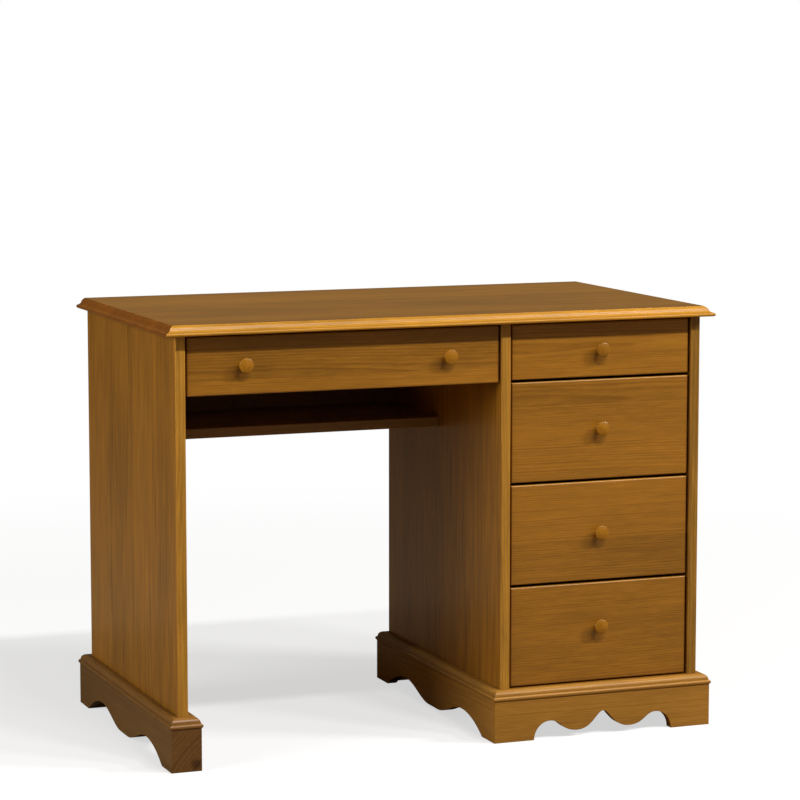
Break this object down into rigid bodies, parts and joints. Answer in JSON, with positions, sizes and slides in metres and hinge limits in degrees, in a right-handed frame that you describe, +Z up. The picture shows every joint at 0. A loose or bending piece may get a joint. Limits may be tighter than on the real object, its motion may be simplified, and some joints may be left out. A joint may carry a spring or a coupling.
{
  "type": "kneehole desk",
  "caption": "Pine kneehole desk: moulded top, wide drawer over a half-depth shelf, and a drawer pedestal on a scalloped plinth with moulded base.",
  "frame": {"origin": "on the floor, at the centre of the desk's outline seen from above", "axes": "+X to the right of a person sitting at the desk, +Y from the drawer fronts to the back, +Z up"},
  "size_m": [1.02, 0.591, 0.76],
  "materials": {
    "pine": "honey-stained pine under satin lacquer",
    "raw_pine": "planed pine, unstained",
    "plywood": "thin plywood, unstained",
    "beech": "fluted beech dowel",
    "steel": "zinc-plated steel screw"
  },
  "bodies": {
    "carcass": {"desktop": "pine", "left_end_panel": "pine", "left_foot_rail": "pine", "left_foot_moulding_outer": "pine", "left_foot_moulding_inner": "pine", "left_foot_end_mouldings": "pine", "pedestal_left_panel": "pine", "pedestal_right_panel": "pine", "pedestal_bottom_board": "pine", "plinth_front_board": "pine", "plinth_left_board": "pine", "plinth_right_board": "pine", "plinth_back_board": "pine", "plinth_moulding_front": "pine", "plinth_moulding_left": "pine", "plinth_moulding_right": "pine", "plinth_moulding_back": "pine", "kneehole_shelf": "pine", "kneehole_back_panel": "pine", "plinth_corner_blocks": "raw_pine", "centre_drawer_runners": "raw_pine", "pedestal_runners": "raw_pine", "pedestal_back_panel": "plywood", "dowels": "beech", "runner_screws": "steel"},
    "centre_drawer": {"centre_drawer_front": "pine", "centre_drawer_left_side": "raw_pine", "centre_drawer_right_side": "raw_pine", "centre_drawer_back": "raw_pine", "centre_drawer_bottom": "plywood", "centre_drawer_knob": "pine", "centre_drawer_knob_screw": "steel"},
    "pedestal_drawer_1": {"pedestal_drawer_1_front": "pine", "pedestal_drawer_1_left_side": "raw_pine", "pedestal_drawer_1_right_side": "raw_pine", "pedestal_drawer_1_back": "raw_pine", "pedestal_drawer_1_bottom": "plywood", "pedestal_drawer_1_knob": "pine", "pedestal_drawer_1_knob_screw": "steel"},
    "pedestal_drawer_2": {"pedestal_drawer_2_front": "pine", "pedestal_drawer_2_left_side": "raw_pine", "pedestal_drawer_2_right_side": "raw_pine", "pedestal_drawer_2_back": "raw_pine", "pedestal_drawer_2_bottom": "plywood", "pedestal_drawer_2_knob": "pine", "pedestal_drawer_2_knob_screw": "steel"},
    "pedestal_drawer_3": {"pedestal_drawer_3_front": "pine", "pedestal_drawer_3_left_side": "raw_pine", "pedestal_drawer_3_right_side": "raw_pine", "pedestal_drawer_3_back": "raw_pine", "pedestal_drawer_3_bottom": "plywood", "pedestal_drawer_3_knob": "pine", "pedestal_drawer_3_knob_screw": "steel"},
    "pedestal_drawer_4": {"pedestal_drawer_4_front": "pine", "pedestal_drawer_4_left_side": "raw_pine", "pedestal_drawer_4_right_side": "raw_pine", "pedestal_drawer_4_back": "raw_pine", "pedestal_drawer_4_bottom": "plywood", "pedestal_drawer_4_knob": "pine", "pedestal_drawer_4_knob_screw": "steel"}
  },
  "joints": [
    {"name": "centre_drawer_slide", "type": "slide", "parent": "carcass", "child": "centre_drawer", "axis": [0, -1, 0], "range_m": [0, 0.33]},
    {"name": "pedestal_drawer_1_slide", "type": "slide", "parent": "carcass", "child": "pedestal_drawer_1", "axis": [0, -1, 0], "range_m": [0, 0.34]},
    {"name": "pedestal_drawer_2_slide", "type": "slide", "parent": "carcass", "child": "pedestal_drawer_2", "axis": [0, -1, 0], "range_m": [0, 0.34]},
    {"name": "pedestal_drawer_3_slide", "type": "slide", "parent": "carcass", "child": "pedestal_drawer_3", "axis": [0, -1, 0], "range_m": [0, 0.34]},
    {"name": "pedestal_drawer_4_slide", "type": "slide", "parent": "carcass", "child": "pedestal_drawer_4", "axis": [0, -1, 0], "range_m": [0, 0.34]}
  ]
}
